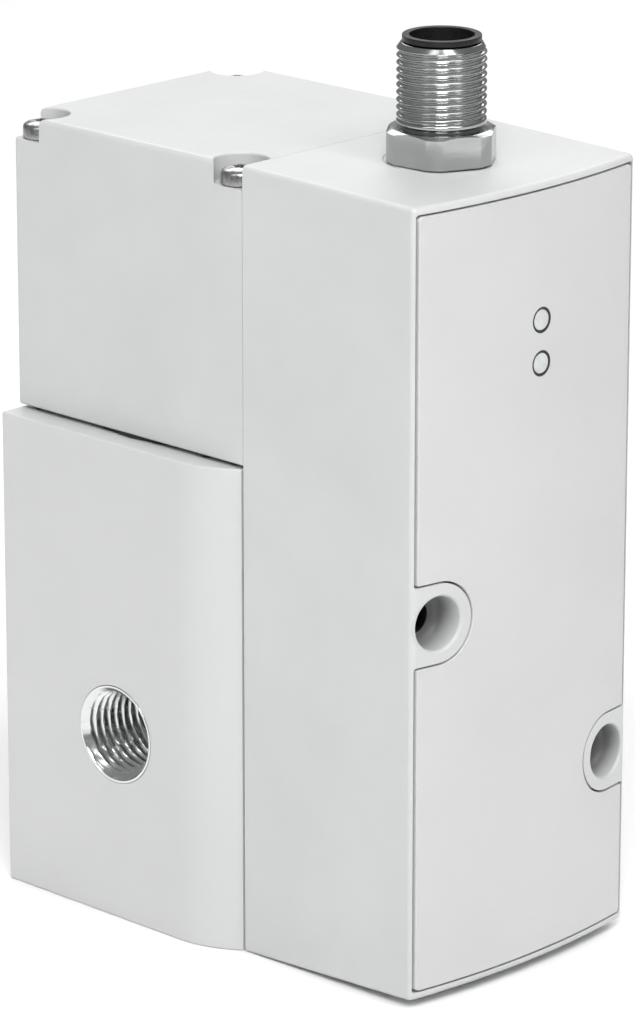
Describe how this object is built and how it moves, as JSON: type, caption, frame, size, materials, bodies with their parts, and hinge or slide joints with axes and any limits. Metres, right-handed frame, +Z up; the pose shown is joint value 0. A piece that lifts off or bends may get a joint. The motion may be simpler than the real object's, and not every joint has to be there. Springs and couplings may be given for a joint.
{
  "type": "electro pneumatic regulator",
  "caption": "Electronic air pressure regulator: bowed electronics housing with a round threaded plug, joined to a valve body with side ports, pilot cap, diaphragm, piston and sprung poppet.",
  "frame": {"origin": "centre of the footprint, on the underside of the valve body", "axes": "+Z up through the round plug; -Y towards the bowed front cover; +X towards the outlet port"},
  "size_m": [0.0496, 0.077, 0.1275],
  "materials": {
    "light_grey": "light grey moulded plastic with a fine matt texture",
    "cover_grey": "pale grey moulded plastic, slightly smoother than the housing",
    "body_grey": "light grey painted casting, satin",
    "clear": "clear moulded light pipe",
    "lamp": "white lamp body",
    "board": "green solder resist",
    "black_plastic": "black glass filled plastic",
    "rubber": "black nitrile rubber",
    "nickel": "bright nickel plate on turned brass",
    "gold": "gold plated contact",
    "brass": "plain turned brass",
    "steel": "zinc plated steel"
  },
  "bodies": {
    "regulator": {"electronics_housing": "light_grey", "front_cover": "cover_grey", "light_pipe_power": "clear", "light_pipe_error": "clear", "lamp_power": "lamp", "lamp_error": "lamp", "circuit_board": "board", "board_screw_1": "steel", "board_screw_2": "steel", "pressure_sensor": "black_plastic", "sensor_seal": "rubber", "connector_sleeve": "nickel", "connector_nut": "nickel", "connector_seal": "rubber", "connector_insert": "black_plastic", "contact_pin_1": "gold", "contact_pin_2": "gold", "contact_pin_3": "gold", "contact_pin_4": "gold", "contact_pin_5": "gold", "valve_body": "body_grey", "supply_port_insert": "nickel", "outlet_port_insert": "nickel", "valve_seat": "brass", "poppet_spring": "steel", "bottom_plug": "brass", "plug_seal": "rubber", "stem_seal": "rubber", "diaphragm": "rubber", "channel_seal": "rubber", "pilot_cap": "light_grey", "fill_coil": "black_plastic", "fill_nozzle": "brass", "fill_spring": "steel", "vent_coil": "black_plastic", "vent_nozzle": "brass", "vent_spring": "steel", "cap_screw_1": "steel", "cap_screw_2": "steel", "cap_screw_3": "steel", "cap_screw_4": "steel", "housing_screw_1": "steel", "housing_screw_2": "steel", "housing_screw_3": "steel", "housing_screw_4": "steel"},
    "valve_poppet": {"poppet": "brass", "poppet_seal": "rubber"},
    "control_piston": {"piston": "brass", "diaphragm_plate": "steel"},
    "fill_plunger": {"fill_armature": "steel"},
    "vent_plunger": {"vent_armature": "steel"}
  },
  "joints": [
    {"name": "poppet_slide", "type": "slide", "parent": "regulator", "child": "valve_poppet", "axis": [0, 0, 1], "range_m": [-0.0015, 0], "stiffness_N_per_m": 800, "springref_m": 0.002, "deforming": ["poppet_spring", "diaphragm"]},
    {"name": "piston_slide", "type": "slide", "parent": "valve_poppet", "child": "control_piston", "axis": [0, 0, 1], "range_m": [0, 0.0008], "deforming": ["diaphragm"]},
    {"name": "fill_slide", "type": "slide", "parent": "regulator", "child": "fill_plunger", "axis": [0, 0, 1], "range_m": [0, 0.0004], "stiffness_N_per_m": 300, "springref_m": -0.003, "deforming": ["fill_spring"]},
    {"name": "vent_slide", "type": "slide", "parent": "regulator", "child": "vent_plunger", "axis": [0, 0, 1], "range_m": [0, 0.0004], "stiffness_N_per_m": 300, "springref_m": -0.003, "deforming": ["vent_spring"]}
  ]
}
